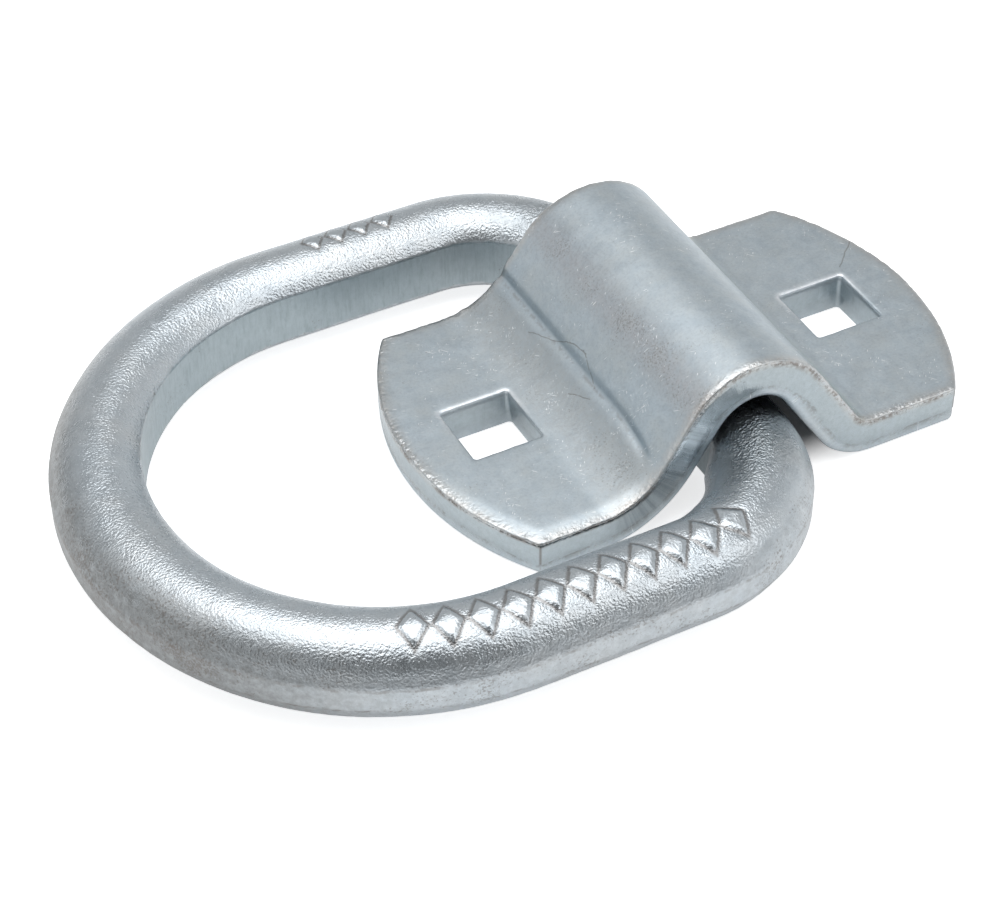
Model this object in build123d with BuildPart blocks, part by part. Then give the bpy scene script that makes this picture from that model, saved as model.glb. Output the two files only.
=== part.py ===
"""Bolt-on D ring tie down: a forged ring held down by a pressed steel bracket.

Millimetres, +Z up. The origin is the middle of the bracket on the surface it bolts to.
X runs from one bolt to the other, Y along the bar of the ring. The ring lies towards -X.
"""

import os
from math import hypot, radians, sin, sqrt, tan

from build123d import *

# Bracket: the flat strip
strip_width = 44.0
plate_thickness = 5.6
overall_length = 75.0
side_length = 60.6
wing_corner_radius = 1.0
die_roll = 1.0
punch_roll = 0.3

# Bracket: the bolt holes
bolt_spacing = 50.8
square_hole = 9.9
hole_corner_radius = 0.7

# Bracket: the arch over the bar
arch_headroom = 2.25
arch_bend_radius = 5.5
arch_lean = 34.0
foot_bend_radius = 7.0
arch_waist = 0.8

# Ring
rod_diameter = 12.7
ring_outer_width = 83.9
ring_outer_length = 88.0
ring_corner_bend = 17.0
outer_band = 3.2
inner_wall = 7.0
surface_clearance = 0.05

# Places that follow from the sizes above
rod_radius = rod_diameter / 2
bar_height = hypot(rod_radius, outer_band / 2) + surface_clearance
inner_wall_depth = sqrt(rod_radius**2 - (inner_wall / 2) ** 2)
half_strip = strip_width / 2
half_length = overall_length / 2
half_side = side_length / 2
lean = radians(arch_lean)
arch_inside_height = bar_height + rod_radius + arch_headroom
arch_inside_apex = arch_inside_height - arch_bend_radius + arch_bend_radius / sin(lean)


def apex_of(height):
    """Height at which the arch's two flanks would cross, for a face that far above the underside."""
    return arch_inside_apex + height / sin(lean)


def foot_of(height):
    """Distance from the middle at which a flank would meet the wing, for the same face."""
    return (apex_of(height) - height) * tan(lean)


def bent_strip_line(height, apex_radius, foot_radius):
    """One face of the bent strip seen along Y: a tent whose three folds are then rounded."""
    foot = foot_of(height)
    reach = half_length + strip_width
    with BuildLine(Plane.XZ) as face_line:
        Polyline((-reach, height), (-foot, height), (0, apex_of(height)), (foot, height), (reach, height))
        fillet(face_line.vertices().sort_by(Axis.Z)[-1], radius=apex_radius)
        feet = face_line.vertices().filter_by(lambda v: abs(abs(v.X) - foot) < 0.01)
        fillet(feet, radius=foot_radius)
    return face_line.line


underside = bent_strip_line(0, arch_bend_radius, foot_bend_radius + plate_thickness)
upper_side = bent_strip_line(plate_thickness, arch_bend_radius + plate_thickness, foot_bend_radius)


def is_lower_rim(edge):
    """True for an edge of the bracket's outline that lies on the underside."""
    middle = edge @ 0.5
    depth = underside.distance_to(Vector(middle.X, 0, middle.Z))
    crosses_strip = edge.geom_type == GeomType.LINE and abs((edge % 0.5).Y) > 0.99
    return depth < 0.01 and not crosses_strip


with BuildPart() as mounting_bracket:
    # the strip, bent to its side view
    with BuildSketch(Plane.XZ) as side_view:
        with BuildLine(Plane.XZ):
            add(underside)
            add(upper_side)
            Line(underside @ 0, upper_side @ 0)
            Line(underside @ 1, upper_side @ 1)
        make_face()
    extrude(amount=strip_width, both=True)
    # its outline from above: each end a large arc, and sides that the arch draws in a little
    arch_reach = foot_of(plate_thickness) + foot_bend_radius * tan((radians(90) - lean) / 2)
    with BuildSketch(Plane.XY) as outline:
        with BuildLine():
            for end in (-1, 1):
                corner = end * half_side
                ThreePointArc((corner, -half_strip), (end * half_length, 0), (corner, half_strip))
            for side in (-half_strip, half_strip):
                waist = side * (1 - arch_waist / half_strip)
                Line((-half_side, side), (-arch_reach, side))
                Spline((-arch_reach, side), (0, waist), (arch_reach, side), tangents=((1, 0), (1, 0)))
                Line((arch_reach, side), (half_side, side))
        make_face()
        wing_corners = outline.vertices().filter_by(lambda v: abs(abs(v.X) - half_side) < 0.01)
        fillet(wing_corners, radius=wing_corner_radius)
    extrude(amount=apex_of(plate_thickness), both=True, mode=Mode.INTERSECT)
    # the blanking die rolls the lower rim
    fillet(mounting_bracket.edges().filter_by(is_lower_rim), radius=die_roll)
    # square holes for the necks of carriage bolts, their upper rims rolled by the punch
    with BuildSketch(Plane.XY) as bolt_holes:
        with GridLocations(bolt_spacing, 0, 2, 1):
            RectangleRounded(square_hole, square_hole, hole_corner_radius)
    extrude(amount=plate_thickness, mode=Mode.SUBTRACT)
    wing_tops = mounting_bracket.faces().filter_by(
        lambda f: f.geom_type == GeomType.PLANE and abs(f.center().Z - plate_thickness) < 0.01
    )
    hole_rims = [edge for top in wing_tops for wire in top.inner_wires() for edge in wire.edges()]
    fillet(hole_rims, radius=punch_roll)

# Ring: the line down the middle of the rod
leg_place = (ring_outer_width - rod_diameter) / 2
bow_centre = ring_outer_length - rod_diameter - leg_place
half_bar = leg_place - ring_corner_bend

with BuildLine(Plane.XY.offset(bar_height)) as rod_line:
    bar = Line((0, -half_bar), (0, half_bar))
    far_corner = TangentArc(bar @ 1, (-ring_corner_bend, leg_place), tangent=bar % 1)
    far_leg = Line(far_corner @ 1, (-bow_centre, leg_place))
    bow = TangentArc(far_leg @ 1, (-bow_centre, -leg_place), tangent=far_leg % 1)
    near_leg = Line(bow @ 1, (-ring_corner_bend, -leg_place))
    TangentArc(near_leg @ 1, bar @ 0, tangent=near_leg % 1)
rod_wire = rod_line.wires()[0]

with BuildPart() as d_ring:
    # round rod, trimmed after forging to a flat wall on its inner side and a narrow band on its outer side
    with BuildSketch(Plane(origin=rod_wire @ 0, x_dir=(1, 0, 0), z_dir=rod_wire % 0)) as rod_section:
        Circle(rod_radius)
        Rectangle(rod_radius, outer_band, align=(Align.MIN, Align.CENTER))
        make_hull()
        with Locations((-inner_wall_depth, 0)):
            Rectangle(rod_radius, rod_diameter, align=(Align.MAX, Align.CENTER), mode=Mode.SUBTRACT)
    sweep(path=rod_wire)

mounting_bracket.part.label = "mounting_bracket"
d_ring.part.label = "d_ring"

os.makedirs("parts", exist_ok=True)
export_step(mounting_bracket.part, "parts/mounting_bracket.step")
export_step(d_ring.part, "parts/d_ring.step")
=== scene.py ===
# %% [markdown]
# # A bolt-on D ring tie down
# A forged steel ring lies through a pressed steel bracket, and two bolts hold the bracket
# to a trailer floor. The ring turns about its own straight bar, under the arch.
# The solids come first, as a fixed frame: they carry the sizes, the joint and the motion.
# This lesson dresses them. It makes the forging and the pressing again as fine meshes
# with real relief, and plates both with zinc that is built from shader nodes.

# %% Load the frame
import math

import bpy
import numpy as np
from mathutils import Matrix, Vector, kdtree
from mathutils.geometry import delaunay_2d_cdt


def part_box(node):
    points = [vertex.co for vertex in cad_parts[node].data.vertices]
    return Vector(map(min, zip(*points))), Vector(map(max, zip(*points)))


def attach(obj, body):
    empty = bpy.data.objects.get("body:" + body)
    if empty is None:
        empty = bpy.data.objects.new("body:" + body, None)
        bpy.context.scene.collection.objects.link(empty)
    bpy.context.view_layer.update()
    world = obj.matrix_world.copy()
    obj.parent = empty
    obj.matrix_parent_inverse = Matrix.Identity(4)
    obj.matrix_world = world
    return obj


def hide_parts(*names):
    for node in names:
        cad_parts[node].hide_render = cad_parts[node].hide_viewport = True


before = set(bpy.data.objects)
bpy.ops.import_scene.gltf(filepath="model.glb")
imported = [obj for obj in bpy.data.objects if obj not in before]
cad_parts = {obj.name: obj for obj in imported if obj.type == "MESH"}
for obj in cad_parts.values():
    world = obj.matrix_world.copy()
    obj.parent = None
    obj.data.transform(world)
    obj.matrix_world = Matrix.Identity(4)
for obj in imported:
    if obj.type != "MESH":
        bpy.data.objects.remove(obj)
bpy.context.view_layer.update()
MM = 0.001

# %% [markdown]
# ## Sizes
# Blender works in metres. Whatever the frame can tell is measured from it, so the new meshes
# sit exactly where the solids are. The rest is written once here, in millimetres times MM.

# %% Read the ring's sizes from the frame
ring_low, ring_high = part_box("d_ring")
rod_radius = (ring_high.z - ring_low.z) / 2
bar_height = (ring_high.z + ring_low.z) / 2
leg_place = ring_high.y - rod_radius
bow_centre = ring_low.x + rod_radius + leg_place
corner_bend = 17 * MM
outer_band = 3.2 * MM
inner_wall = 7.0 * MM
print(f"rod {2 * rod_radius / MM:.1f} mm, legs {2 * leg_place / MM:.1f} mm apart")
print(f"the bow's centre lies at x {bow_centre / MM:.1f} mm")

# %% Read the bracket's sizes from the frame
_, bracket_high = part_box("mounting_bracket")
half_length = bracket_high.x
half_strip = bracket_high.y
crest_height = bracket_high.z
plate = 5.6 * MM
half_side = 30.3 * MM
wing_corner = 1.0 * MM
arch_waist = 0.8 * MM
die_roll = 0.9 * MM
bolt_reach = 25.4 * MM
hole_side = 9.9 * MM
hole_corner = 0.5 * MM
lean = math.radians(34)
apex_bend = 5.5 * MM
left_foot_bend = 10.5 * MM
right_foot_bend = 3.2 * MM
end_depth = half_length - half_side
end_radius = (half_strip**2 + end_depth**2) / (2 * end_depth)
print(f"bracket {2 * half_length / MM:.1f} x {2 * half_strip / MM:.1f} x {crest_height / MM:.1f} mm")
print(f"each end is an arc of {end_radius / MM:.1f} mm radius")

# %% [markdown]
# ## Camera
# The view was matched to a photograph of the real thing: how far round and how high the camera
# stands, how far away, and a small shift because the subject isn't in the middle of the frame.
# A Track To constraint would aim it too, but leaves out the slight roll that the photograph has.
# So the camera's axes are worked out from those angles and put straight into its matrix.

# %% Place the camera
view_round = math.radians(-27.92)
view_up = math.radians(40.75)
view_roll = math.radians(-0.17)
look_at = Vector((-17.54, 6.95, 0)) * MM
distance = 340.76 * MM

back = Vector((
    math.sin(view_round) * math.cos(view_up),
    -math.cos(view_round) * math.cos(view_up),
    math.sin(view_up),
))
level = Vector((math.cos(view_round), math.sin(view_round), 0))
upright = back.cross(level)
side = math.cos(view_roll) * level + math.sin(view_roll) * upright
top = math.cos(view_roll) * upright - math.sin(view_roll) * level

camera_data = bpy.data.cameras.new("product_camera")
camera_data.sensor_width = 36
camera_data.lens = 93.9
camera_data.shift_x = -0.0211
camera_data.shift_y = -0.0435
camera = bpy.data.objects.new("product_camera", camera_data)
bpy.context.scene.collection.objects.link(camera)
axes = Matrix((side, top, back)).transposed().to_4x4()
camera.matrix_world = Matrix.Translation(look_at + back * distance) @ axes
bpy.context.scene.camera = camera
print("camera at", [round(value, 3) for value in camera.location])

# %% [markdown]
# ## Helpers for node trees
# Geometry and shader trees are both made of nodes with named inputs. One helper makes a node,
# sets its options and fills its inputs: a value is typed in, and a socket is linked.
# What comes out of a node is wrapped as a Signal, which knows Python's operators. So a sum such
# as `grain * 0.5 + waves` makes the two maths nodes that work it out, and reads like the sum.

# %% Wrap what comes out of a node
class Signal:
    """An output of a node. A sum written with it makes the maths nodes that work the sum out."""

    def __init__(self, tree, socket):
        self.tree, self.socket = tree, socket

    def __add__(self, other):
        return maths("ADD", self, other)

    def __sub__(self, other):
        return maths("SUBTRACT", self, other)

    def __rsub__(self, other):
        return maths("SUBTRACT", other, self)

    def __mul__(self, other):
        return maths("MULTIPLY", self, other)

    def __truediv__(self, other):
        return maths("DIVIDE", self, other)

    def __rtruediv__(self, other):
        return maths("DIVIDE", other, self)

    def __abs__(self):
        return maths("ABSOLUTE", self)


# %% Make one node
def feed(socket, value):
    """Links a signal to an input, or types a plain value into it."""
    if isinstance(value, Signal):
        value.tree.links.new(value.socket, socket)
    else:
        socket.default_value = value


def node(tree, kind, inputs=None, output=0, **options):
    made = tree.nodes.new(kind)
    for name, value in options.items():
        setattr(made, name, value)
    for name, value in (inputs or {}).items():
        feed(made.inputs[name], value)
    return Signal(tree, made.outputs[output])


def maths(operation, *values, clamp=False):
    tree = next(value.tree for value in values if isinstance(value, Signal))
    return node(tree, "ShaderNodeMath", dict(enumerate(values)), operation=operation, use_clamp=clamp)


# %% Make the nodes that every tree needs
def ramp(value, start, end, low=0.0, high=1.0):
    """A smooth step from low to high while value goes from start to end."""
    numbers = {"Value": value, "From Min": start, "From Max": end, "To Min": low, "To Max": high}
    return node(value.tree, "ShaderNodeMapRange", numbers, interpolation_type="SMOOTHSTEP")


def past(value, threshold, width):
    """0 up to the threshold, and from there a straight slope of that width to 1."""
    numbers = {"Value": value, "From Min": threshold, "From Max": threshold + width}
    return node(value.tree, "ShaderNodeMapRange", numbers)


def noise_at(place, size, detail=2.0, roughness=0.5):
    """Noise from -1 to 1 whose lumps are about that size."""
    numbers = {"Vector": place, "Scale": 1.0 / size, "Detail": detail, "Roughness": roughness}
    return node(place.tree, "ShaderNodeTexNoise", numbers) * 2.0 - 1.0


def part(vector, axis):
    return node(vector.tree, "ShaderNodeSeparateXYZ", {0: vector}, axis)


def blend(share, below, above):
    """A colour that goes from below to above as share goes from 0 to 1."""
    inputs = {"Factor": share, 6: below, 7: above}
    return node(share.tree, "ShaderNodeMix", inputs, 2, data_type="RGBA")


def new_tree(name, kind, inputs, outputs):
    """An empty group: the tree, its inputs as signals by name, and its output node."""
    tree = bpy.data.node_groups.new(name, kind)
    for direction, sockets in (("INPUT", inputs), ("OUTPUT", outputs)):
        for label, socket, *start in sockets:
            made = tree.interface.new_socket(name=label, in_out=direction, socket_type="NodeSocket" + socket)
            if start:
                made.default_value = start[0]
    given = tree.nodes.new("NodeGroupInput").outputs
    return tree, {socket.name: Signal(tree, socket) for socket in given}, tree.nodes.new("NodeGroupOutput")


# %% [markdown]
# ## The ring's path and section
# The ring is one forging: a round rod that follows a D. So two curves describe it. The path runs
# down the middle of the rod, and starts in the middle of the bar, where the arch hides its seam.
# A Bezier quarter circle has handles 0.5523 of its radius long. The section is the rod cut across:
# round above and below, with a narrow trimmed band outside and a flat trimmed wall inside.

# %% Draw the path
QUARTER = 0.5523


def draw_path():
    bend, bow = corner_bend * QUARTER, leg_place * QUARTER
    corners = [
        ((0, 0), (0, 1), 0, 0),
        ((0, leg_place - corner_bend), (0, 1), 0, bend),
        ((-corner_bend, leg_place), (-1, 0), bend, 0),
        ((bow_centre, leg_place), (-1, 0), 0, bow),
        ((bow_centre - leg_place, 0), (0, -1), bow, bow),
        ((bow_centre, -leg_place), (1, 0), bow, 0),
        ((-corner_bend, -leg_place), (1, 0), 0, bend),
        ((0, corner_bend - leg_place), (0, 1), bend, 0),
    ]
    curve = bpy.data.curves.new("ring_path", "CURVE")
    curve.dimensions = "3D"
    curve.resolution_u = 64
    spline = curve.splines.new("BEZIER")
    spline.bezier_points.add(len(corners) - 1)
    spline.use_cyclic_u = True
    for point, (place, heading, before, after) in zip(spline.bezier_points, corners):
        place, heading = Vector((*place, bar_height)), Vector((*heading, 0))
        point.co = place
        point.handle_left = place - heading * max(before, 1 * MM)
        point.handle_right = place + heading * max(after, 1 * MM)
    print("path:", len(corners), "points")
    return bpy.data.objects.new("ring_path", curve)


# %% Draw the section
def draw_section(spacing):
    """The rod cut across: from underneath up the inner wall, over the top and down the outer band."""
    band, wall = outer_band / 2, inner_wall / 2
    soft = 0.25 * MM
    band_angle, wall_angle = 2 * math.atan(band / rod_radius), math.asin(wall / rod_radius)
    touch = (rod_radius * math.cos(band_angle), rod_radius * math.sin(band_angle))
    lip = (rod_radius - soft * math.sin(band_angle), band + soft * math.cos(band_angle))

    def arc(start, end):
        steps = round(abs(end - start) * rod_radius / spacing)
        angles = np.linspace(start, end, steps, endpoint=False)
        return [(rod_radius * math.cos(angle), rod_radius * math.sin(angle)) for angle in angles]

    def run(start, end):
        steps = max(1, round(math.dist(start, end) / spacing))
        return [tuple(np.array(start) + (np.array(end) - start) * step / steps) for step in range(steps)]

    wall_place = -rod_radius * math.cos(wall_angle)
    upper_band = [(rod_radius, band - soft), lip, touch]
    across_band = [(x, -y) for x, y in reversed(upper_band)] + upper_band
    points = arc(math.pi / 2, math.pi - wall_angle)
    points += run((wall_place, wall), (wall_place, -wall))
    points += arc(math.pi + wall_angle, 2 * math.pi - band_angle)
    for start, end in zip(across_band, across_band[1:]):
        points += run(start, end)
    points += arc(band_angle, math.pi / 2)
    curve = bpy.data.curves.new("ring_section", "CURVE")
    curve.dimensions = "2D"
    spline = curve.splines.new("POLY")
    spline.points.add(len(points) - 1)
    spline.use_cyclic_u = True
    for point, place in zip(spline.points, points):
        point.co = (*place, 0, 1)
    print("section:", len(points), "points")
    return bpy.data.objects.new("ring_section", curve)


# %% [markdown]
# ## The forged ring
# Geometry Nodes sweep the section along the path, then push each point in or out along its normal.
# The push is the sum of what a forging shows: long soft waves from the hammer, the scaly grain of
# the die, and raised lozenges on the legs, where such rings are marked.
# The trimmed band and wall were sheared, so the grain fades out there. At the near corner the
# flash was left, so the inner side stays full and round. The tree stores how trimmed and how
# raised each point is, and the finish reads both later.
# A torus pulled into a D could be displaced as well. The sweep was chosen because it knows how far
# along and around the rod each point lies, and that puts the trim and the marks in their places.

# %% Say where things lie around the section, from underneath it
wall_start = rod_radius * (math.pi / 2 - math.asin(inner_wall / 2 / rod_radius))
wall_middle = wall_start + inner_wall / 2
top_middle = 2 * wall_middle
top_to_band = rod_radius * (math.pi / 2 - 2 * math.atan(outer_band / 2 / rod_radius))
band_middle = top_middle + top_to_band + outer_band
wall_depth = math.sqrt(rod_radius**2 - (inner_wall / 2) ** 2)
print(f"around the rod: inner wall {wall_middle / MM:.1f}, top {top_middle / MM:.1f} mm")
print(f"and the middle of the outer band {band_middle / MM:.1f} mm")

# %% Say where things lie along the path
corner_run = corner_bend * math.pi / 4
corner_along = leg_place * math.pi / 2 - corner_bend - bow_centre + corner_run
half_loop = leg_place - corner_bend + 2 * corner_run - corner_bend - bow_centre + leg_place * math.pi / 2
near_marks = {
    "Start": 166.5 * MM, "Pitch": 4.08 * MM, "Count": 11,
    "Centre": top_middle + math.radians(6) * rod_radius,
    "Half Width": 1.6 * MM, "Half Height": 2.6 * MM,
}
far_marks = {
    "Start": 51.2 * MM, "Pitch": 3.4 * MM, "Count": 4,
    "Centre": top_middle + math.radians(12) * rod_radius,
    "Half Width": 1.3 * MM, "Half Height": 1.9 * MM,
}
print(f"half the ring's path is {half_loop / MM:.1f} mm")
print(f"the corners lie {corner_along / MM:.1f} mm from the bow's middle")


# %% Describe a row of raised lozenges
def lozenge_reach(along, around, row):
    """How far out from the nearest lozenge's middle a point is: 1 is on its outline."""
    step = (along - row["Start"]) / row["Pitch"]
    nearest = maths("MINIMUM", maths("MAXIMUM", maths("ROUND", step), 0.0), row["Count"] - 1.0)
    beside = abs((step - nearest) * row["Pitch"])
    return beside / row["Half Width"] + abs(around - row["Centre"]) / row["Half Height"]


def lozenge_row(along, around, row):
    """1 on a lozenge and 0 away from it, with a slight hollow around each, as the die leaves it."""
    reach = lozenge_reach(along, around, row)
    return ramp(reach, 1.15, 0.8) + ramp(reach, 1.7, 1.2, high=-0.25)


# %% Describe what the shears trimmed, and what they left at the near corner
def trimmed_places(along, around, place):
    """How trimmed each point is, and how far the near corner stands out past the trimmed wall."""
    ragged = noise_at(place, 1.6 * MM, 2.0) * (0.7 * MM)
    at_corner = ramp(abs(along - half_loop - corner_along), corner_run, corner_run - 7 * MM)
    band_gap = at_corner * (-1.2 * MM) + (abs(around - band_middle) + ragged)
    wall_gap = abs(around - wall_middle) + ragged
    on_band = ramp(band_gap, outer_band + 0.5 * MM, outer_band - 0.6 * MM)
    on_wall = ramp(wall_gap, inner_wall / 2 + 0.5 * MM, inner_wall / 2 - 0.3 * MM) * (1.0 - at_corner)

    off_wall = around - wall_middle
    drop = maths("MINIMUM", off_wall * off_wall, (inner_wall / 2) ** 2)
    rounding = maths("SQRT", rod_radius**2 - drop) - wall_depth
    swelling = ramp(abs(off_wall), 7 * MM, 0.0, high=0.7 * MM)
    return maths("MAXIMUM", on_band * 0.55, on_wall), (rounding + swelling) * at_corner


# %% Build the forging tree
def forging_tree():
    tree, put, result = new_tree(
        "forged_ring",
        "GeometryNodeTree",
        [
            ("Path", "Object"), ("Section", "Object"), ("Rows", "Int", 760), ("Sink", "Float", 0.08 * MM),
            ("Wave Height", "Float", 0.08 * MM), ("Grain Height", "Float", 0.03 * MM),
            ("Mark Height", "Float", 0.32 * MM), ("Finish", "Material"),
        ],
        [("Ring", "Geometry")],
    )

    def make(kind, inputs=None, output=0, **options):
        return node(tree, "GeometryNode" + kind, inputs, output, **options)

    def store(geometry, name, value):
        return make("StoreNamedAttribute", {"Geometry": geometry, "Name": name, "Value": value})

    length = make("SplineParameter", output="Length")
    path = make("ObjectInfo", {"Object": put["Path"]}, "Geometry")
    path = make("SetCurveNormal", {"Curve": path}, mode="Z_UP")
    rows = store(make("ResampleCurve", {"Curve": path, "Count": put["Rows"]}), "along", length)
    section = make("ObjectInfo", {"Object": put["Section"]}, "Geometry")
    section = store(section, "around", length)
    ring = make("CurveToMesh", {"Curve": rows, "Profile Curve": section})

    along, around = (make("InputNamedAttribute", {"Name": name}) for name in ("along", "around"))
    place = make("InputPosition")
    trimmed, filled = trimmed_places(along, around, place)
    waves = noise_at(place, 12 * MM, 1.0) * put["Wave Height"]
    grain = noise_at(place, 1.1 * MM, 1.0) * put["Grain Height"] * (trimmed * -0.85 + 1.0)
    near_row, far_row = (lozenge_row(along, around, row) for row in (near_marks, far_marks))
    marks = (near_row + far_row) * put["Mark Height"]
    push = waves + grain + marks - put["Sink"] + filled

    ring = store(ring, "trimmed", trimmed)
    ring = store(ring, "raised", maths("MAXIMUM", near_row, far_row))
    normal = make("InputNormal")
    offset = node(tree, "ShaderNodeVectorMath", {0: normal, "Scale": push}, operation="SCALE")
    ring = make("SetPosition", {"Geometry": ring, "Offset": offset})
    ring = make("RealizeInstances", {"Geometry": make("SetShadeSmooth", {"Geometry": ring})})
    feed(result.inputs["Ring"], make("SetMaterial", {"Geometry": ring, "Material": put["Finish"]}))
    print("forging tree:", len(tree.nodes), "nodes")
    return tree


# %% [markdown]
# ## Zinc
# Both pieces are plated with the same bright zinc, so its effects are node groups that each finish
# places with its own numbers. Zinc is a metal: full Metallic, a bluish grey colour, and everything
# else comes from how rough the surface is. The groups put out heights, masks and colours only.
# Photographs of zinc would have to be unwrapped onto the parts, and would show their seams. Noise
# in the object's own space has no seams, and stays fine however near the camera comes.

# %% Group: the tone of plated zinc
def zinc_tone_group():
    tree, put, result = new_tree(
        "zinc_tone",
        "ShaderNodeTree",
        [
            ("Place", "Vector"), ("Light", "Color"), ("Dull", "Color"), ("Warm", "Color"),
            ("Patch Size", "Float", 4 * MM),
        ],
        [("Colour", "Color")],
    )
    patches = noise_at(put["Place"], put["Patch Size"], 4.0, 0.6)
    tone = blend(ramp(patches, -0.5, 0.5), put["Dull"], put["Light"])
    haze = noise_at(put["Place"], put["Patch Size"] * 4.0, 4.0, 0.7)
    feed(result.inputs["Colour"], blend(ramp(haze, -0.4, 0.8), tone, put["Warm"]))
    return tree


# %% Group: the lumps and grit of the metal under the plating
def metal_grain_group():
    tree, put, result = new_tree(
        "metal_grain",
        "ShaderNodeTree",
        [
            ("Place", "Vector"), ("Lump Size", "Float", 0.8 * MM), ("Grit Size", "Float", 0.25 * MM),
            ("Grit", "Float", 0.4),
        ],
        [("Height", "Float")],
    )
    lumps = noise_at(put["Place"], put["Lump Size"], 1.0, 0.5)
    grit = noise_at(put["Place"], put["Grit Size"], 1.0, 0.5)
    feed(result.inputs["Height"], grit * put["Grit"] + lumps)
    return tree


# %% Group: dark specks where dirt sits in the plating
def speck_group():
    tree, put, result = new_tree(
        "dark_specks",
        "ShaderNodeTree",
        [
            ("Place", "Vector"), ("Speck Size", "Float", 0.4 * MM), ("Cloud Size", "Float", 5 * MM),
            ("Threshold", "Float", 0.5),
        ],
        [("Mask", "Float")],
    )
    specks = noise_at(put["Place"], put["Speck Size"], 2.0, 0.6)
    clouds = noise_at(put["Place"], put["Cloud Size"], 1.0, 0.5)
    feed(result.inputs["Mask"], past(clouds * 0.5 + specks, put["Threshold"], 0.25))
    return tree


# %% Group: short scratches that all run one way
def scratch_group():
    tree, put, result = new_tree(
        "scratches",
        "ShaderNodeTree",
        [
            ("Place", "Vector"), ("Angle", "Float"), ("Length", "Float", 3 * MM),
            ("Thickness", "Float", 0.12 * MM), ("Threshold", "Float", 0.55),
        ],
        [("Mask", "Float")],
    )
    turning = {"Vector": put["Place"], "Angle": put["Angle"]}
    turned = node(tree, "ShaderNodeVectorRotate", turning, rotation_type="Z_AXIS")
    drawn = node(tree, "ShaderNodeCombineXYZ", {
        "X": part(turned, "X") / put["Length"],
        "Y": part(turned, "Y") / put["Thickness"],
    })
    lines = noise_at(drawn, 1.0, 0.0)
    clouds = noise_at(put["Place"], 4 * MM, 1.0)
    feed(result.inputs["Mask"], past(clouds * 0.35 + lines, put["Threshold"], 0.1))
    return tree


# %% Group: one hairline between two points
def hairline_group():
    tree, put, result = new_tree(
        "hairline",
        "ShaderNodeTree",
        [
            ("Place", "Vector"), ("Start", "Vector"), ("End", "Vector"),
            ("Width", "Float", 0.12 * MM), ("Wobble", "Float", 0.4 * MM),
        ],
        [("Mask", "Float")],
    )

    def vector(operation, first, second=(0, 0, 0), output=0):
        return node(tree, "ShaderNodeVectorMath", {0: first, 1: second}, output, operation=operation)

    run = vector("SUBTRACT", put["End"], put["Start"])
    here = vector("SUBTRACT", put["Place"], put["Start"])
    run_squared = vector("DOT_PRODUCT", run, run, "Value")
    share = maths("DIVIDE", vector("DOT_PRODUCT", here, run, "Value"), run_squared, clamp=True)
    nearest = node(tree, "ShaderNodeVectorMath", {0: run, "Scale": share}, operation="SCALE")
    aside = part(vector("CROSS_PRODUCT", vector("NORMALIZE", run), here), "Z")
    off_line = abs(aside - noise_at(nearest, 2.5 * MM, 2.0) * put["Wobble"])
    past_end = vector("LENGTH", vector("SUBTRACT", here, nearest), output="Value")
    ended = ramp(past_end, put["Wobble"] + put["Width"], put["Wobble"])
    line = ramp(off_line, put["Width"], put["Width"] * 0.4)
    broken = ramp(noise_at(put["Place"], 0.6 * MM, 1.0), -0.5, -0.1)
    feed(result.inputs["Mask"], line * ended * broken)
    return tree


# %% Group: the dark outline at the foot of raised marks
def mark_outline_group():
    inputs = [(name, "Float") for name in ("Along", "Around", *near_marks)]
    tree, put, result = new_tree("mark_outline", "ShaderNodeTree", inputs, [("Mask", "Float")])
    place = node(tree, "ShaderNodeTexCoord", output="Object")
    reach = noise_at(place, 0.6 * MM) * 0.12 + lozenge_reach(put["Along"], put["Around"], put)
    feed(result.inputs["Mask"], ramp(reach, 0.95, 1.1) * ramp(reach, 1.5, 1.2))
    return tree


# %% Make the groups
zinc_tone = zinc_tone_group()
metal_grain = metal_grain_group()
dark_specks = speck_group()
scratches = scratch_group()
hairline = hairline_group()
mark_outline = mark_outline_group()
print("groups:", [group.name for group in bpy.data.node_groups])


# %% Start and end a finish
def group_node(tree, group, inputs):
    return node(tree, "ShaderNodeGroup", inputs, node_tree=group)


def attribute(tree, name, output="Fac"):
    return node(tree, "ShaderNodeAttribute", output=output, attribute_name=name)


def start_finish(name):
    """A new metal: its material, node tree and shader, and the place on the object."""
    material = bpy.data.materials.new(name)
    material.use_nodes = True
    tree = material.node_tree
    shader = tree.nodes["Principled BSDF"]
    shader.inputs["Metallic"].default_value = 1.0
    return material, tree, shader, node(tree, "ShaderNodeTexCoord", output="Object")


def end_finish(shader, colour, roughness, height, distance):
    """Plugs a finish in. The height is drawn as a bump that stands that distance high."""
    bump = node(height.tree, "ShaderNodeBump", {"Height": height, "Distance": distance})
    feed(shader.inputs["Base Color"], colour)
    feed(shader.inputs["Roughness"], roughness)
    feed(shader.inputs["Normal"], bump)
    print("finish:", len(height.tree.nodes), "nodes")
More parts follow.
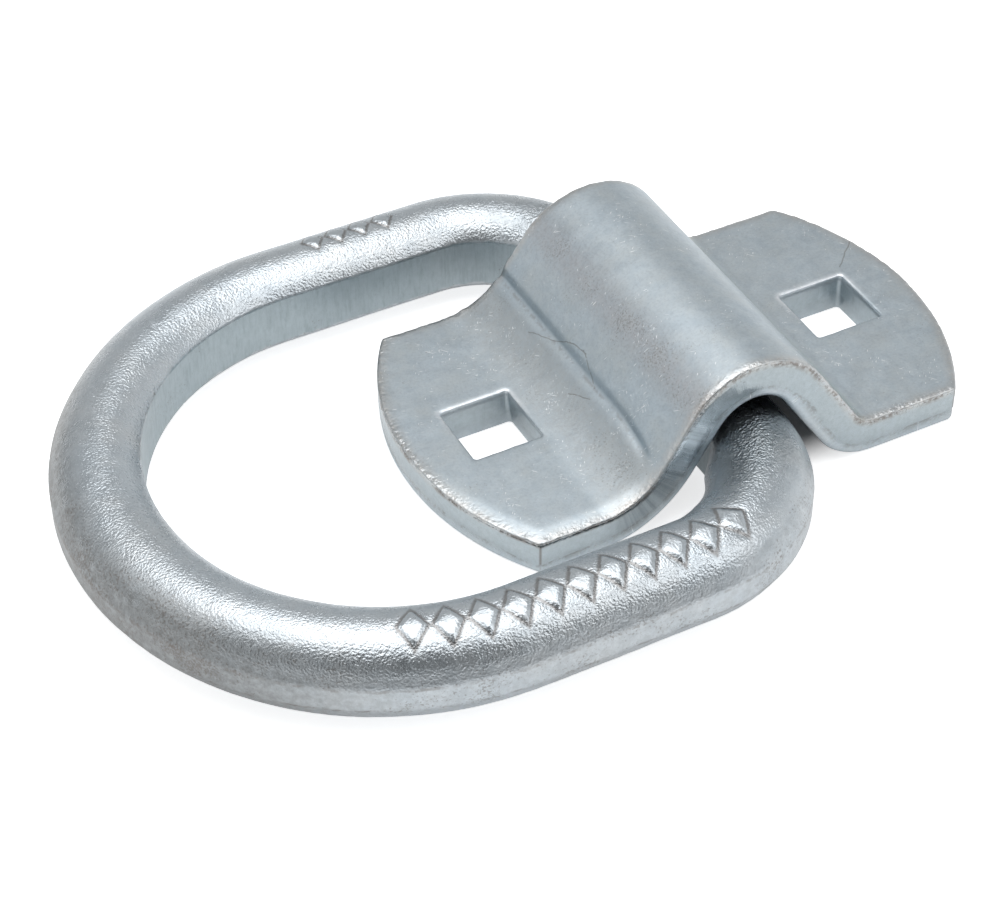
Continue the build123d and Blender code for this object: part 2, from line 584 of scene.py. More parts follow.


# %% [markdown]
# ## The finish of the forging
# Forging scale leaves the metal like orange peel, and the zinc keeps every lump of it. So the
# grain has to turn the reflections strongly, at the size of a pinhead. It fades where the ring
# was trimmed: the inner wall shows streaks from the shear instead, and a dirty line follows the
# band's ragged edge. The outer side of the bow gets painted shade and more dirt specks, and the
# top of the rod by the arch gets painted shade for the dark arch it reflects, and a rougher grain.
# A dark brown line rings each mark.
# The large lumps are in the mesh already. The fine grain is a bump, because a mesh that carried
# it would be many times as heavy and look no different.

# %% Name the forging's colours
# dark brown for dirt, also for the line along the bracket's lower rim, which is partly painted shade
brown_dirt_and_shade = (0.16, 0.13, 0.11, 1)
forging_zinc = {"Light": (0.64, 0.69, 0.73, 1), "Dull": (0.55, 0.60, 0.64, 1), "Warm": (0.60, 0.62, 0.63, 1)}
trimmed_metal = (0.34, 0.36, 0.37, 1)
wall_metal = (0.41, 0.48, 0.51, 1)
wall_streak = (0.25, 0.30, 0.32, 1)
# painted shade for the outer side of the bow
bow_shade_colour = (0.23, 0.235, 0.235, 1)
# painted shade for the top of the rod by the arch
arch_shade_colour = (0.22, 0.245, 0.26, 1)
print("forging zinc:", forging_zinc)


# %% Finish the forging
def finish_forging():
    material, tree, shader, place = start_finish("zinc_on_forging")
    trimmed, along, around = (attribute(tree, name) for name in ("trimmed", "along", "around"))
    colour = group_node(tree, zinc_tone, {"Place": place, "Patch Size": 3 * MM, **forging_zinc})
    mottle = ramp(noise_at(place, 0.9 * MM, 3.0, 0.7), -0.6, 0.6)
    colour = blend(trimmed * mottle * 0.9, colour, trimmed_metal)

    # the inner wall and its streaks, which run across it
    on_wall = ramp(trimmed, 0.56, 0.95)
    colour = blend(on_wall * 0.8, colour, wall_metal)
    streaked = node(tree, "ShaderNodeCombineXYZ", {"X": along, "Y": around * 0.15})
    streaks = ramp(noise_at(streaked, 0.6 * MM, 3.0, 0.7), -0.2, 0.7) * on_wall
    colour = blend(streaks * 0.6, colour, wall_streak)

    # painted shade on the outer side of the bow; the same mask brings more dirt specks there
    band_gap = abs(around - band_middle)
    bow_shade_and_dirt = ramp(part(place, "X"), -52 * MM, -76 * MM) * ramp(band_gap, 9 * MM, 4 * MM)
    colour = blend(bow_shade_and_dirt * (mottle * 0.4 + 0.6), colour, bow_shade_colour)

    # painted shade on the upper side of the rod by the arch, standing for the dark arch it reflects; the
    # grain there is rougher too
    by_arch = ramp(part(place, "X"), -15 * MM, -7 * MM) * ramp(abs(part(place, "Y")), 36 * MM, 25 * MM)
    arch_shade_and_grain = by_arch * ramp(abs(around - top_middle), 7 * MM, 3 * MM)
    colour = blend(arch_shade_and_grain * (mottle * -0.6 + 0.75), colour, arch_shade_colour)

    # dirt: more specks on the band and the bow, and a line at the band's edge; then a dark brown line round
    # each mark
    dirtier = maths("MAXIMUM", trimmed - on_wall, bow_shade_and_dirt)
    speckling = {"Place": place, "Speck Size": 0.3 * MM, "Threshold": dirtier * -0.3 + 0.38}
    colour = blend(group_node(tree, dark_specks, speckling) * 0.5, colour, brown_dirt_and_shade)
    off_edge = noise_at(place, 1.5 * MM, 2.0) * (0.3 * MM) + (band_gap - outer_band / 2)
    edge_line = ramp(abs(off_edge), 0.3 * MM, 0.08 * MM)
    edge_line = edge_line * ramp(noise_at(place, 2 * MM, 3.0, 0.7), -0.2, 0.4)
    colour = blend(edge_line * 0.55, colour, brown_dirt_and_shade)
    for row in (near_marks, far_marks):
        outline = group_node(tree, mark_outline, {"Along": along, "Around": around, **row})
        colour = blend(outline * 0.6, colour, brown_dirt_and_shade)

    sizes = {"Lump Size": 0.3 * MM, "Grit Size": 0.17 * MM, "Grit": 0.15}
    grain = group_node(tree, metal_grain, {"Place": place, **sizes})
    smoother = maths("MAXIMUM", trimmed, attribute(tree, "raised") * 0.8)
    height = grain * (smoother * -0.8 + (arch_shade_and_grain * 0.7 + 1.0))
    gloss = ramp(noise_at(place, 2.5 * MM, 3.0, 0.6), -0.6, 0.6, 0.24, 0.34)
    end_finish(shader, colour, trimmed * 0.1 + gloss, height, 0.044 * MM)
    return material


# %% [markdown]
# ## The finish of the pressing
# Rolled strip is smoother, so its zinc is satin. What tells its story is handling: short bright
# scratches, brown specks, a rubbed line where the press tool's shoulder touched, dirt in the crease
# of the left foot, and lumpy zinc along the cut rims. Some colour is painted light: stripes of painted
# highlight on the near flank's cut face with painted shade below, a painted highlight on the far rim of
# each hole, and painted shade in the crease, under the arch and, with dirt, along the lower rim.
# The mesh will carry masks for those places, and the place on the flat blank, so that scratches
# follow the sheet round its bends. The masks are worked out from distances rather than painted,
# so they move with the bends and rims when a size changes.

# %% Name the pressing's colours, scratches and hairlines
pressing_zinc = {"Light": (0.61, 0.68, 0.73, 1), "Dull": (0.51, 0.58, 0.63, 1), "Warm": (0.57, 0.61, 0.62, 1)}
fine_mottle = (0.33, 0.37, 0.40, 1)
bright_scratch = (0.98, 0.99, 1.0, 1)
# for each mask on the mesh, how strongly its colour shows, and the colour
pressing_tints = [
    ("seam", 0.8, (0.48, 0.54, 0.52, 1)),
    ("foot", 0.6, (0.43, 0.45, 0.455, 1)),
    ("shoulder", 0.6, (0.46, 0.46, 0.48, 1)),
    ("cut", 0.9, (0.39, 0.445, 0.47, 1)),
    # painted shade in the crease of the left foot
    ("fold", 0.5, (0.42, 0.49, 0.54, 1)),
    ("rim", 0.6, (0.62, 0.58, 0.54, 1)),
    # painted shade on the underside under the arch
    ("inside", 1.0, (0.16, 0.17, 0.18, 1)),
    # painted highlight on the far rim of each hole
    ("far_hole_rim_highlight", 0.8, (0.95, 0.97, 1.0, 1)),
]
# for each mask of stripes, the noise at which a stripe begins, where it is full, and its colour: the light
# stripes are a painted highlight, the dark ones painted shade
pressing_stripes = [
    ("stripe_highlight", -0.5, 0.3, (0.88, 0.95, 1.0, 1)),
    ("shaded", 0.8, -0.8, (0.14, 0.165, 0.18, 1)),
]
# where each hairline starts and ends on the blank's upper face, in millimetres
hairlines = [
    ((38.3, 6.7), (42.6, 10.8)),
    ((-17.5, 10.5), (-13.6, 3.2)),
    ((-13.6, 3.2), (-13.1, 0.3)),
    ((-13.1, 0.3), (-15.2, -4.2)),
    ((-19.0, -2.0), (-17.3, -4.8)),
]
# the way each set of scratches runs, its length, and how rare it is
scratch_sets = [(0.35, 1.0 * MM, 0.63), (0.9, 2.0 * MM, 0.67), (2.2, 0.7 * MM, 0.61)]
print("pressing:", len(pressing_tints), "tints,", len(hairlines), "hairlines")


# %% Finish the pressing
def finish_pressing():
    material, tree, shader, place = start_finish("zinc_on_pressing")
    sheet = attribute(tree, "blank_place", "Vector")
    rim, cut, shoulder, seam, foot = (
        attribute(tree, name) for name in ("rim", "cut", "shoulder", "seam", "foot")
    )
    colour = group_node(tree, zinc_tone, {"Place": place, "Patch Size": 1.4 * MM, **pressing_zinc})
    mottle = ramp(noise_at(place, 0.7 * MM, 3.0, 0.7), -0.6, 0.6)
    fine = ramp(noise_at(place, 0.4 * MM, 3.0, 0.7), -0.2, 0.5)
    colour = blend(fine * (shoulder * 0.4 + 0.3), colour, fine_mottle)
    for name, share, tint in pressing_tints:
        colour = blend(attribute(tree, name) * (mottle * (0.6 * share) + 0.5 * share), colour, tint)
    edge_run = node(tree, "ShaderNodeCombineXYZ", {"X": attribute(tree, "edge_run")})
    bands = noise_at(edge_run, 1.1 * MM, 3.0, 0.6)
    for name, begin, full, tint in pressing_stripes:
        colour = blend(attribute(tree, name) * ramp(bands, begin, full), colour, tint)

    # dirt: specks, more of them where the zinc is thick, and what the creases and corners hold; the line
    # along the lower rim is part dirt and part painted shade
    thick = (shoulder * 1.7 + foot) + (rim + seam)
    speckling = {"Place": place, "Speck Size": 0.24 * MM, "Threshold": thick * -0.17 + 0.44}
    colour = blend(group_node(tree, dark_specks, speckling) * 0.4, colour, brown_dirt_and_shade)
    broken = ramp(noise_at(place, 0.5 * MM, 2.0) + noise_at(place, 3 * MM, 1.0), -0.3, 0.4)
    dirt_and_edge_shade = maths("MAXIMUM", attribute(tree, "gutter"), attribute(tree, "fold_line") * 0.5) * broken
    dirt_and_edge_shade = maths("MAXIMUM", dirt_and_edge_shade, attribute(tree, "corner"))
    colour = blend(dirt_and_edge_shade * 0.7, colour, brown_dirt_and_shade)

    lines = 0.0
    for start, end in hairlines:
        ends = {"Start": Vector((*start, plate / MM)) * MM, "End": Vector((*end, plate / MM)) * MM}
        lines = maths("MAXIMUM", lines, group_node(tree, hairline, {"Place": sheet, **ends}))
    colour = blend(lines * 0.45, colour, brown_dirt_and_shade)
    scratched = 0.0
    for angle, length, threshold in scratch_sets:
        drawing = {"Angle": angle, "Length": length, "Thickness": 0.15 * MM, "Threshold": threshold}
        scratched = maths("MAXIMUM", scratched, group_node(tree, scratches, {"Place": sheet, **drawing}))
    scratched = scratched * (1.0 - cut)
    colour = blend(scratched * 0.9, colour, bright_scratch)

    sizes = {"Lump Size": 0.5 * MM, "Grit Size": 0.16 * MM, "Grit": 0.6}
    grain = group_node(tree, metal_grain, {"Place": place, **sizes})
    grain = grain * (maths("MAXIMUM", foot, shoulder) * 0.9 + 0.4)
    beads = noise_at(place, 0.45 * MM, 2.0) * (rim * 7.0)
    streaks = noise_at(edge_run, 0.22 * MM, 2.0) * (cut * 1.5)
    height = grain + beads + streaks - (scratched * 0.5 + lines)
    gloss = ramp(noise_at(place, 3 * MM, 3.0, 0.6), -0.6, 0.6, 0.36, 0.46)
    gloss = attribute(tree, "sheared") * -0.2 + gloss
    end_finish(shader, colour, rim * -0.1 + gloss, height, 0.008 * MM)
    return material


# %% [markdown]
# ## Run the forging tree
# A modifier's inputs are set by their identifiers, before the object is evaluated. The result is
# turned into a plain mesh, which is what the frame can carry, and the curves are thrown away.

# %% Turn a tree's result into a mesh
def evaluated_mesh(tree, name, inputs):
    """Runs a Geometry Nodes tree and returns what it makes as a plain mesh."""
    holder = bpy.data.objects.new(name, bpy.data.meshes.new(name))
    bpy.context.scene.collection.objects.link(holder)
    modifier = holder.modifiers.new(name, "NODES")
    modifier.node_group = tree
    for item in tree.interface.items_tree:
        if item.in_out == "INPUT" and item.name in inputs:
            modifier[item.identifier] = inputs[item.name]
    depsgraph = bpy.context.evaluated_depsgraph_get()
    mesh = bpy.data.meshes.new_from_object(
        holder.evaluated_get(depsgraph), preserve_all_data_layers=True, depsgraph=depsgraph
    )
    bpy.data.objects.remove(holder)
    return mesh


# %% Forge the ring
ring_path = draw_path()
ring_section = draw_section(0.32 * MM)
ring_inputs = {"Path": ring_path, "Section": ring_section, "Finish": finish_forging()}
ring_mesh = evaluated_mesh(forging_tree(), "forged_ring", ring_inputs)
forged_ring = bpy.data.objects.new("forged_ring", ring_mesh)
bpy.context.scene.collection.objects.link(forged_ring)
for curve in (ring_path, ring_section):
    bpy.data.objects.remove(curve)
corners = np.array([vertex.co for vertex in ring_mesh.vertices])
print("ring", len(ring_mesh.polygons), "faces", corners.min(0) / MM, corners.max(0) / MM)
print("the solid ring", list(ring_low / MM), list(ring_high / MM))

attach(forged_ring, "ring")
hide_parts("d_ring")

# %% [markdown]
# ## The bracket's blank
# The bracket starts as a flat blank, cut from strip and punched twice, and is bent afterwards.
# It could be modelled bent, as the solid is. But everything about its edges is easy while it is
# flat, so the mesh is made in the factory's order: the die has rolled the lower rim round, the cut
# face is sheared above and torn below, and a burr stands along the upper rim. Lengths run along
# the middle of the sheet, which bending keeps.

# %% Work out the bends
turn = math.pi / 2 - lean
inside_apex = crest_height - plate - apex_bend + apex_bend / math.sin(lean)
crest_run = (apex_bend + plate / 2) * turn
FOOT_BENDS = {-1: left_foot_bend, 1: right_foot_bend}


def flank_run(foot_bend):
    whole = inside_apex / math.cos(lean)
    return whole - apex_bend * math.tan(turn) - (foot_bend + plate) * math.tan(turn / 2)


def wing_start(foot_bend):
    """Where the wing becomes flat: its distance from the middle, on the part and on the blank."""
    on_part = inside_apex * math.tan(lean) + (foot_bend + plate) * math.tan(turn / 2)
    return on_part, crest_run + flank_run(foot_bend) + (foot_bend + plate / 2) * turn


def on_blank(side, reach):
    """Where a place on a wing, given by its distance from the middle of the part, lies on the blank."""
    on_part, flat = wing_start(FOOT_BENDS[side])
    return side * (reach - on_part + flat)


def end_centre(side):
    return on_blank(side, half_length) - side * end_radius


print(f"blank is {(on_blank(1, half_length) - on_blank(-1, half_length)) / MM:.1f} mm long")


# %% Bend a blank
def bend(blank):
    """Moves points of the blank (along, across, height) to where the press leaves them."""
    along, across, height = blank.T
    x, z = np.zeros_like(along), np.zeros_like(along)
    run = np.abs(along)
    crest_centre = crest_height - plate - apex_bend
    for side, foot_bend in FOOT_BENDS.items():
        part_start, flat_start = wing_start(foot_bend)
        middle_bend = foot_bend + plate / 2
        swing = np.clip(run / (apex_bend + plate / 2), 0, turn)
        down = np.clip(run - crest_run, 0, flank_run(foot_bend))
        arch_x = (apex_bend + height) * np.sin(swing) + down * math.sin(lean)
        arch_z = crest_centre + (apex_bend + height) * np.cos(swing) - down * math.cos(lean)
        left = np.clip((flat_start - run) / middle_bend, 0, turn)
        radius = foot_bend + plate - height
        foot_x, foot_z = part_start - radius * np.sin(left), plate + foot_bend - radius * np.cos(left)
        in_foot, in_wing = run > flat_start - middle_bend * turn, run > flat_start
        side_x = np.where(in_wing, part_start + run - flat_start, np.where(in_foot, foot_x, arch_x))
        side_z = np.where(in_wing, height, np.where(in_foot, foot_z, arch_z))
        here = along * side >= 0
        x[here], z[here] = side * side_x[here], side_z[here]
    share = np.clip(np.abs(x) / (20 * MM), 0, 1)
    drawn_in = arch_waist / half_strip * (1 - 3 * share**2 + 2 * share**3)
    return np.stack([x, across * (1 - drawn_in), z], 1)


bent_tip = bend(np.array([[on_blank(1, half_length), 0, 0]]))[0]
print(f"the press leaves the blank's right tip at x {bent_tip[0] / MM:.2f} mm")


# %% Draw arcs and lines as points
def arc_points(centre, radius, start, end, spacing):
    """Points on an arc and the direction out of it at each, the end left out."""
    steps = max(8, round(abs(end - start) * radius / spacing))
    angles = np.linspace(start, end, steps, endpoint=False)
    out = np.stack([np.cos(angles), np.sin(angles)], 1)
    return np.array(centre) + radius * out, out


def line_points(start, end, spacing):
    steps = max(1, round(math.dist(start, end) / spacing))
    share = np.arange(steps)[:, None] / steps
    run = np.array(end) - np.array(start)
    out = np.array([run[1], -run[0]]) / math.hypot(*run)
    return np.array(start) + share * run, np.repeat(out[None], steps, 0)


def joined(pieces):
    return [np.vstack(column) for column in zip(*pieces)]


# %% Draw the blank's outline and holes
def blank_outline(spacing):
    """The outline anticlockwise, and the direction out of the metal at each point."""
    pieces = []
    near = half_strip - wing_corner
    corner = math.sqrt((end_radius - wing_corner) ** 2 - near**2)
    swing = math.atan2(near, corner)
    quarter = math.pi / 2
    for side in (1, -1):
        start = end_centre(side) + side * corner
        end = end_centre(-side) - side * corner
        facing = 0 if side == 1 else math.pi
        low, high = facing - swing, facing + swing
        pieces.append(arc_points((start, -side * near), wing_corner, facing - quarter, low, spacing))
        pieces.append(arc_points((end_centre(side), 0), end_radius, low, high, spacing))
        pieces.append(arc_points((start, side * near), wing_corner, high, facing + quarter, spacing))
        pieces.append(line_points((start, side * half_strip), (end, side * half_strip), spacing))
    return joined(pieces)


def square_hole(side, spacing):
    """A square hole clockwise, and the direction out of the metal, which is into the hole."""
    centre = on_blank(side, bolt_reach)
    flat = hole_side / 2 - hole_corner
    pieces = []
    for quarter in range(4):
        facing = quarter * math.pi / 2
        x, y = round(math.cos(facing)), round(math.sin(facing))
        start = (centre + x * hole_side / 2 + y * flat, y * hole_side / 2 - x * flat)
        end = (centre + x * hole_side / 2 - y * flat, y * hole_side / 2 + x * flat)
        middle = (centre + flat * (x - y), flat * (y + x))
        pieces.append(line_points(start, end, spacing))
        pieces.append(arc_points(middle, hole_corner, facing, facing + math.pi / 2, spacing))
    points, out = joined(pieces)
    return points[::-1], -out[::-1]


outline, outline_out = blank_outline(0.32 * MM)
holes = [square_hole(side, 0.3 * MM) for side in (-1, 1)]
print("outline", len(outline), "points, each hole", len(holes[0][0]))

# %% [markdown]
# ## The cut edges
# A Bevel modifier would round every edge alike. Here each zone of the cut has its own shape, so
# a rim is a set of rows: each says how far in from the outline it lies and how high it is.
# Random but smooth lines, with a fixed seed, make the burr uneven and streak the sheared face
# from top to bottom. The upper and lower faces are then filled between the rims by a constrained
# triangulation, which keeps the rims' own points and takes a grid of points in between.

# %% Make smooth random lines
random = np.random.default_rng(7)


def uneven(points, size):
    """A smooth random value from -1 to 1 at each point of a closed loop."""
    steps = np.linalg.norm(np.roll(points, -1, 0) - points, axis=1)
    distance = np.concatenate([[0], np.cumsum(steps)[:-1]])
    knots = max(4, round(steps.sum() / size))
    values = random.uniform(-1, 1, knots)
    share = distance / steps.sum() * knots
    before = np.floor(share).astype(int) % knots
    between = share - np.floor(share)
    between = between * between * (3 - 2 * between)
    return values[before] * (1 - between) + values[(before + 1) % knots] * between


# %% Lay out the rows of a rim
# the shoulder's rows: how far in, how far down, and how much of the burr lifts them
shoulder_rows = [(0.68, 0.01, 0.1), (0.45, 0.04, 0.3), (0.26, 0.1, 0.8), (0.12, 0.18, 1.0), (0.04, 0.3, 0.5)]
inner_row = 0.92 * MM
upper_cut_rows = [(plate - 0.42 * MM, 0.11 * MM), (plate - 0.55 * MM, 0.02 * MM)]
sheared_rows = [(4.4 * MM, 0.5), (3.6 * MM, 0.8), (2.8 * MM, 1.0)]
torn_inset = 0.1 * MM
lower_inset = 0.08 * MM
roll_angles = np.radians((0, 18, 36, 54, 72, 90))


def rim_rows(points, out, burr, shoulder_size, roll):
    """Rows of (along, across, height) from the upper face down the cut to the lower face."""
    lift = 0.3 + 0.5 * uneven(points, 1.6 * MM) + 0.45 * uneven(points, 0.5 * MM)
    lift = burr * np.clip(lift, 0, 1)
    spread = 1 + 0.25 * uneven(points, 9 * MM)
    streak = 0.03 * MM * np.abs(uneven(points, 0.45 * MM) + uneven(points, 1.3 * MM))
    torn = 0.05 * MM * uneven(points, 0.9 * MM)
    tear = 2.1 * MM + 0.35 * MM * uneven(points, 5 * MM)
    made = [(inner_row, plate)]
    made += [
        (inset * shoulder_size * spread, plate - drop * shoulder_size + lift * share)
        for inset, drop, share in shoulder_rows
    ]
    made += [(inset, height) for height, inset in upper_cut_rows]
    made += [(streak * depth, height) for height, depth in sheared_rows]
    made += [(streak, tear), (torn_inset + torn * 0.5, tear - 0.25 * MM)]
    for swing in roll_angles:
        inset = roll * (1 - math.cos(swing)) + lower_inset * math.cos(swing)
        made.append((inset, roll * (1 - math.sin(swing))))
    return [
        np.column_stack([points - out * np.reshape(inset, (-1, 1)), np.broadcast_to(height, len(points))])
        for inset, height in made
    ]


rims = [rim_rows(outline, outline_out, 0.14 * MM, 1.0 * MM, die_roll)]
rims += [rim_rows(points, out, 0.06 * MM, 0.75 * MM, 0.15 * MM) for points, out in holes]
print("each rim has", len(rims[0]), "rows")


# %% Fill the faces between the rims
def inner_grid(columns, spacing, margin):
    """Grid points of the blank that keep a margin from every rim."""
    x, y = np.meshgrid(columns, np.arange(-half_strip, half_strip, spacing))
    x, y = x.ravel(), y.ravel()
    keep = np.abs(y) < half_strip - margin
    for side in (1, -1):
        keep &= (side * x < 0) | (np.hypot(x - end_centre(side), y) < end_radius - margin)
        keep &= np.maximum(np.abs(x - on_blank(side, bolt_reach)), np.abs(y)) > hole_side / 2 + margin
    return np.stack([x[keep], y[keep]], 1)


def fill(loops, inner):
    """Triangles between the loops, as numbers of the loops' points and then the inner ones.

    The first loop is the outline. A hole holds no inner points, so it is where a triangle
    has all its corners on that hole's loop, and those triangles are dropped.
    """
    edges, first = [], 0
    for loop in loops:
        edges += [(first + step, first + (step + 1) % len(loop)) for step in range(len(loop))]
        first += len(loop)
    flat = [Vector(point) for point in np.vstack([*loops, inner])]
    _, _, faces, origins, _, _ = delaunay_2d_cdt(flat, edges, [], 2, 1e-9)
    triangles = np.array([[origins[corner][0] for corner in face] for face in faces])
    kept, first = np.ones(len(triangles), bool), len(loops[0])
    for hole in loops[1:]:
        kept &= ~((triangles >= first) & (triangles < first + len(hole))).all(1)
        first += len(hole)
    return triangles[kept]


# %% Build the blank's mesh
crease_run = crest_run + flank_run(left_foot_bend)
grid_margin = 1.55 * MM
fine_grid, crease_grid, coarse_grid = 0.42 * MM, 0.16 * MM, 0.8 * MM


def blank_mesh():
    """The blank's points and faces: the rims first, row by row, and then the faces between them."""
    points, faces, ends = [], [], {"top": [], "bottom": []}
    count = 0
    for rim in rims:
        around = len(rim[0])
        for row in range(len(rim) - 1):
            a = count + row * around + np.arange(around)
            b = count + row * around + (np.arange(around) + 1) % around
            faces += [(q, p, p + around, q + around) for p, q in zip(a.tolist(), b.tolist())]
        ends["top"].append(np.arange(around) + count)
        ends["bottom"].append(np.arange(around) + count + (len(rim) - 1) * around)
        points += rim
        count += around * len(rim)
    tip = on_blank(1, half_length) + 2 * MM
    crease_start, crease_end = -crease_run - 2.9 * MM, -crease_run + 1.5 * MM
    fine = np.concatenate([
        np.arange(-tip, crease_start, fine_grid),
        np.arange(crease_start, crease_end, crease_grid),
        np.arange(crease_end, tip, fine_grid),
    ])
    coarse = np.arange(-tip, tip, coarse_grid)
    for name, row, columns, spacing, height in (
        ("top", 0, fine, fine_grid, plate),
        ("bottom", -1, coarse, coarse_grid, 0),
    ):
        inner = inner_grid(columns, spacing, grid_margin)
        numbers = np.concatenate([*ends[name], np.arange(len(inner)) + count])
        triangles = numbers[fill([rim[row][:, :2] for rim in rims], inner)]
        faces += (triangles if name == "top" else triangles[:, ::-1]).tolist()
        points.append(np.column_stack([inner, np.full(len(inner), height)]))
        count += len(inner)
    return np.vstack(points), faces


blank, bracket_faces = blank_mesh()
print("blank", len(blank), "points,", len(bracket_faces), "faces")

# %% [markdown]
# ## What the press leaves
# The tool's edge pressed a crease where the left foot meets the flank. It lies at one place on the
# blank, turns outwards at its near end and runs out before the edge. The near edge of the left
# wing was rolled down a little. The formulas that sink the crease give the masks for its dirt and
# its painted shade.
# The other masks are distances on the blank as well: from a rim, a bend or a corner.

# %% Press the crease and roll the near edge
def step(value, start, end):
    """A smooth step from 0 to 1 while value goes from start to end."""
    share = np.clip((value - start) / (end - start), 0, 1)
    return share * share * (3 - 2 * share)


def hump(value, width):
    """1 where value is 0, fading out over that width on both sides."""
    return np.exp(-((value / width) ** 2))


along, across, height = blank.T.copy()
upper = step(height, 0.75 * plate, 0.97 * plate)
from_crease = -along - crease_run - 1.3 * MM * step(-across, 10 * MM, 21 * MM)
run_out = 1 - step(-across, 16.5 * MM, 20 * MM)
groove = hump(from_crease, 0.8 * MM) - 0.25 * hump(from_crease - 1.8 * MM, 1.0 * MM)
blank[:, 2] -= 0.26 * MM * groove * run_out * upper

SHOULDER_ROW = 3
tree_of_rims = kdtree.KDTree(sum(len(rim[0]) for rim in rims))
for number, point in enumerate(np.vstack([rim[SHOULDER_ROW] for rim in rims])):
    tree_of_rims.insert((point[0], point[1], 0), number)
tree_of_rims.balance()
nearest_rim = np.array([tree_of_rims.find((x, y, 0))[1:] for x, y in zip(along, across)])
rim_gap = nearest_rim[:, 1]
by_outline = nearest_rim[:, 0] < len(outline)
on_left_wing = step(-along, crease_run, crease_run + 6 * MM)
rolled = hump(rim_gap, 1.2 * MM) * step(-across, 3 * MM, 15 * MM) * on_left_wing
blank[:, 2] -= 0.3 * MM * rolled * upper
print(f"the press sinks the upper face by up to {(height - blank[:, 2]).max() / MM:.2f} mm")

# %% Follow each rim's rows
# dirt sits in the rows just under the burr; a fainter dark line in the row under the tear is part dirt and
# part painted shade
BURR_ROWS, TEAR_ROW = (5, 8), 12
edge_run, gutter = np.zeros(len(blank)), np.zeros(len(blank))
count = 0
for rim in rims:
    loop = rim[SHOULDER_ROW][:, :2]
    steps = np.linalg.norm(np.roll(loop, -1, 0) - loop, axis=1)
    distances = np.concatenate([[0], np.cumsum(steps)[:-1]])
    edge_run[count:count + len(rim) * len(loop)] = np.tile(distances, len(rim))
    if rim is rims[0]:
        gutter[count + BURR_ROWS[0] * len(loop):count + BURR_ROWS[1] * len(loop)] = 1
        gutter[count + TEAR_ROW * len(loop):count + (TEAR_ROW + 1) * len(loop)] = 0.6
    count += len(rim) * len(loop)
on_rim = np.arange(len(blank)) < count
on_outline_rim = np.arange(len(blank)) < len(rims[0]) * len(outline)
print("rims", count, "points")

# %% Work out the masks
corner_gap = np.min([
    np.hypot(along - on_blank(side, half_side), np.abs(across) - half_strip) for side in (1, -1)
], 0)
shoulder_run = (apex_bend + plate / 2) * math.radians(47)
seam_run = crest_run + flank_run(right_foot_bend) + (right_foot_bend + plate / 2) * turn * 0.35
is_cut = on_rim * (1 - step(height, 0.9 * plate, 0.93 * plate)) * step(height, 0.2 * plate, 0.3 * plate)
sheared = is_cut * on_outline_rim
on_near_flank = sheared * (across < 0)
foot_start = step(-along, crease_run + 0.6 * MM, crease_run + 3 * MM)
foot_end = step(-along, crease_run + 8 * MM, crease_run + 13 * MM)
masks = {
    "rim": upper * hump(rim_gap, 0.8 * MM) * by_outline,
    # painted highlight along the far rims of the holes
    "far_hole_rim_highlight": upper * hump(rim_gap, 0.35 * MM) * ~by_outline * step(across, -2 * MM, 4 * MM),
    "cut": is_cut,
    "sheared": sheared,
    # the near flank's cut face: stripes of painted highlight, and painted shade below them
    "stripe_highlight": on_near_flank * hump(-along - 11.5 * MM, 3.5 * MM),
    "shaded": on_near_flank * step(-along, 13 * MM, 17 * MM) * (1 - step(-along, 23 * MM, 29 * MM)),
    # painted shade along the crease; the fold_line mask after it is the crease's dirt
    "fold": upper * run_out * hump(from_crease, 0.9 * MM),
    "fold_line": upper * run_out * hump(from_crease - 0.5 * MM, 0.28 * MM),
    "foot": upper * foot_start * (1 - foot_end),
    "shoulder": upper * hump(-along - shoulder_run, 2.0 * MM),
    "seam": upper * hump(along - seam_run, 1.6 * MM),
    "gutter": gutter,
    "corner": on_rim * (1 - step(corner_gap, 0.12 * wing_corner, 0.28 * wing_corner)),
    # painted shade on the underside under the arch
    "inside": (1 - step(height, 0.005 * plate, 0.03 * plate)) * (1 - step(np.abs(along), 20 * MM, 26 * MM)),
    "edge_run": edge_run,
}
print("masks:", sorted(masks))

# %% Bend it
bracket_points = bend(blank)
bracket_mesh = bpy.data.meshes.new("pressed_bracket")
bracket_mesh.from_pydata(bracket_points.tolist(), [], bracket_faces)
bracket_mesh.polygons.foreach_set("use_smooth", [True] * len(bracket_mesh.polygons))
bracket_mesh.materials.append(finish_pressing())
place_on_blank = bracket_mesh.attributes.new("blank_place", "FLOAT_VECTOR", "POINT")
place_on_blank.data.foreach_set("vector", blank.ravel())
for name, values in masks.items():
    bracket_mesh.attributes.new(name, "FLOAT", "POINT").data.foreach_set("value", values)
bracket_mesh.update()
pressed_bracket = bpy.data.objects.new("pressed_bracket", bracket_mesh)
bpy.context.scene.collection.objects.link(pressed_bracket)
print("bracket", len(bracket_faces), "faces", bracket_points.min(0) / MM, bracket_points.max(0) / MM)

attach(pressed_bracket, "bracket")
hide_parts("mounting_bracket")

# %% [markdown]
# ## Floor, room and light
# The part lies on a plain white floor. The floor glows a little for camera rays, and less for
# glossy and transmission rays. So the background reads white, in the metal too, while the part's
# shadow stays. No other ray sees the glow. Under the arch the glow is switched off in a patch given
# by place, a painted shadow that keeps the gap between the bar and the arch dark.
# The room is white to the camera and a soft grey to the metal: brighter low down and at the
# sides, darker in front, where a photographer would stand. Three soft lamps light the part: a
# large one overhead, one from the left and one from the right.

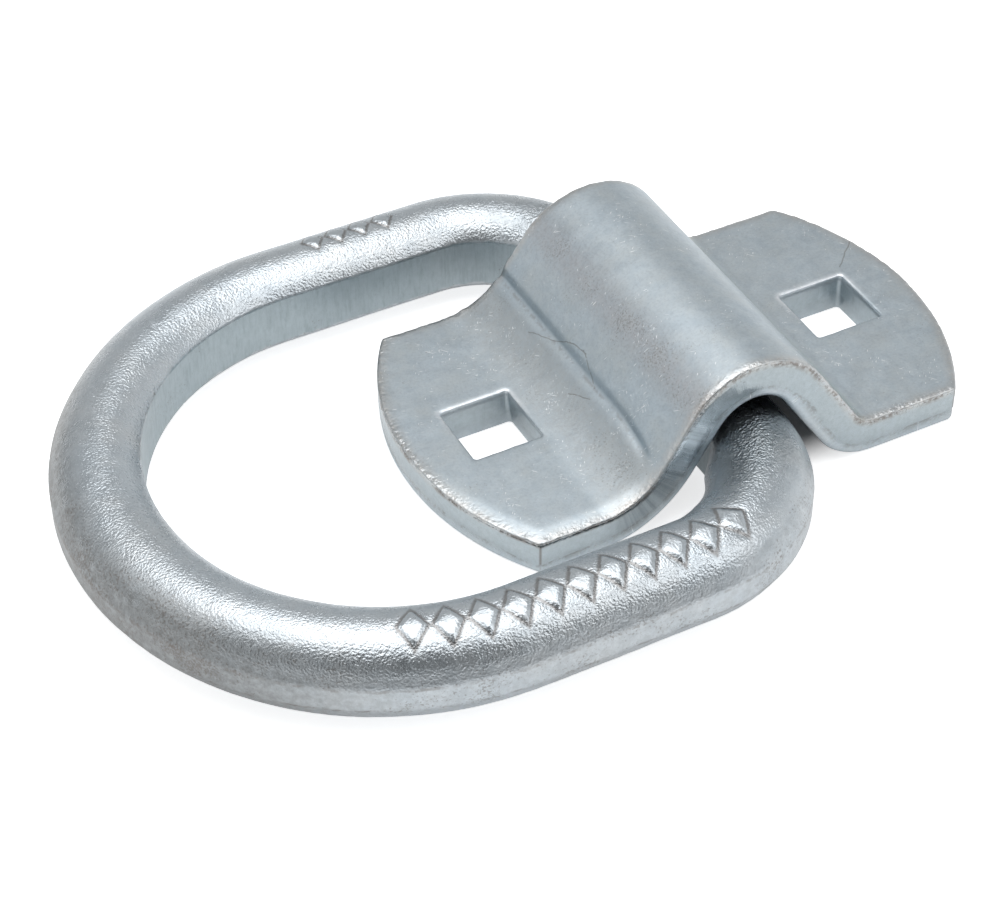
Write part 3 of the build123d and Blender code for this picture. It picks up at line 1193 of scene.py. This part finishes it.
# %% Lay the floor
floor_mesh = bpy.data.meshes.new("floor")
floor_mesh.from_pydata([(-3, -3, 0), (3, -3, 0), (3, 3, 0), (-3, 3, 0)], [], [(0, 1, 2, 3)])
floor = bpy.data.objects.new("floor", floor_mesh)
bpy.context.scene.collection.objects.link(floor)
floor_paint = bpy.data.materials.new("floor_paint")
floor_paint.use_nodes = True
floor_mesh.materials.append(floor_paint)
floor_tree = floor_paint.node_tree
floor_shader = floor_tree.nodes["Principled BSDF"]
floor_shader.inputs["Base Color"].default_value = (0.85, 0.85, 0.85, 1)
floor_shader.inputs["Roughness"].default_value = 0.9
floor_shader.inputs["Emission Color"].default_value = (1, 1, 1, 1)
print("floor", list(floor.dimensions), "m")

# %% Let the floor glow, except in a painted shadow under the arch
seen_by_camera, seen_in_gloss, seen_through = (
    node(floor_tree, "ShaderNodeLightPath", output=f"Is {kind} Ray")
    for kind in ("Camera", "Glossy", "Transmission")
)
# a patch under the arch, given by place, gets no glow: a painted shadow
gap_middle = 11 * MM
spot = node(floor_tree, "ShaderNodeTexCoord", output="Object")
off_gap = abs(part(spot, "X") - gap_middle)
glow_outside_arch_shadow = maths(
    "MAXIMUM", ramp(off_gap, 3 * MM, 7 * MM), ramp(abs(part(spot, "Y")), 15 * MM, 21 * MM)
)
in_metal = maths("MAXIMUM", seen_in_gloss, seen_through)
glowing = maths("MAXIMUM", seen_by_camera * 0.7, in_metal * 0.25)
feed(floor_shader.inputs["Emission Strength"], glowing * glow_outside_arch_shadow)
print("floor paint:", len(floor_tree.nodes), "nodes")

# %% Light the room
world = bpy.data.worlds.new("studio")
world.use_nodes = True
bpy.context.scene.world = world
sky = world.node_tree
room = sky.nodes["Background"]
heading = node(sky, "ShaderNodeTexCoord", output="Generated")
to_front = node(
    sky, "ShaderNodeVectorMath", {0: heading, 1: (-0.1, -0.8, 0.6)}, "Value", operation="DOT_PRODUCT"
)
glow = ramp(part(heading, "Z"), 0.1, 0.7, 0.60, 0.44)
glow = glow * ramp(abs(part(heading, "X")), 0.4, 0.95, 1.0, 1.35)
shade = ramp(to_front, 0.45, 0.95, 1.0, 0.62) * ramp(to_front, 0.9, 0.985, 1.0, 0.4)
to_eye = node(sky, "ShaderNodeLightPath", output="Is Camera Ray")
room.inputs["Color"].default_value = (0.97, 0.99, 1.0, 1)
feed(room.inputs["Strength"], maths("MAXIMUM", glow * shade, to_eye))
print("room:", len(sky.nodes), "nodes")


# %% Hang the lamps
def softbox(name, size, power, place, aim):
    data = bpy.data.lights.new(name, "AREA")
    data.size = size
    data.energy = power
    lamp = bpy.data.objects.new(name, data)
    lamp.location = place
    lamp.rotation_euler = (Vector(place) - Vector(aim)).to_track_quat("Z", "Y").to_euler()
    bpy.context.scene.collection.objects.link(lamp)
    print(name, power, "W")


softbox("overhead_softbox", 0.44, 1.1, (-0.05, 0.045, 0.42), (-0.05, 0.045, 0))
softbox("left_softbox", 0.5, 0.5, (-0.65, 0.25, 0.6), (0, 0, 0))
softbox("right_softbox", 0.42, 0.8, (0.36, -0.45, 0.56), (0, 0, 0))
bpy.context.scene.view_settings.view_transform = "Standard"
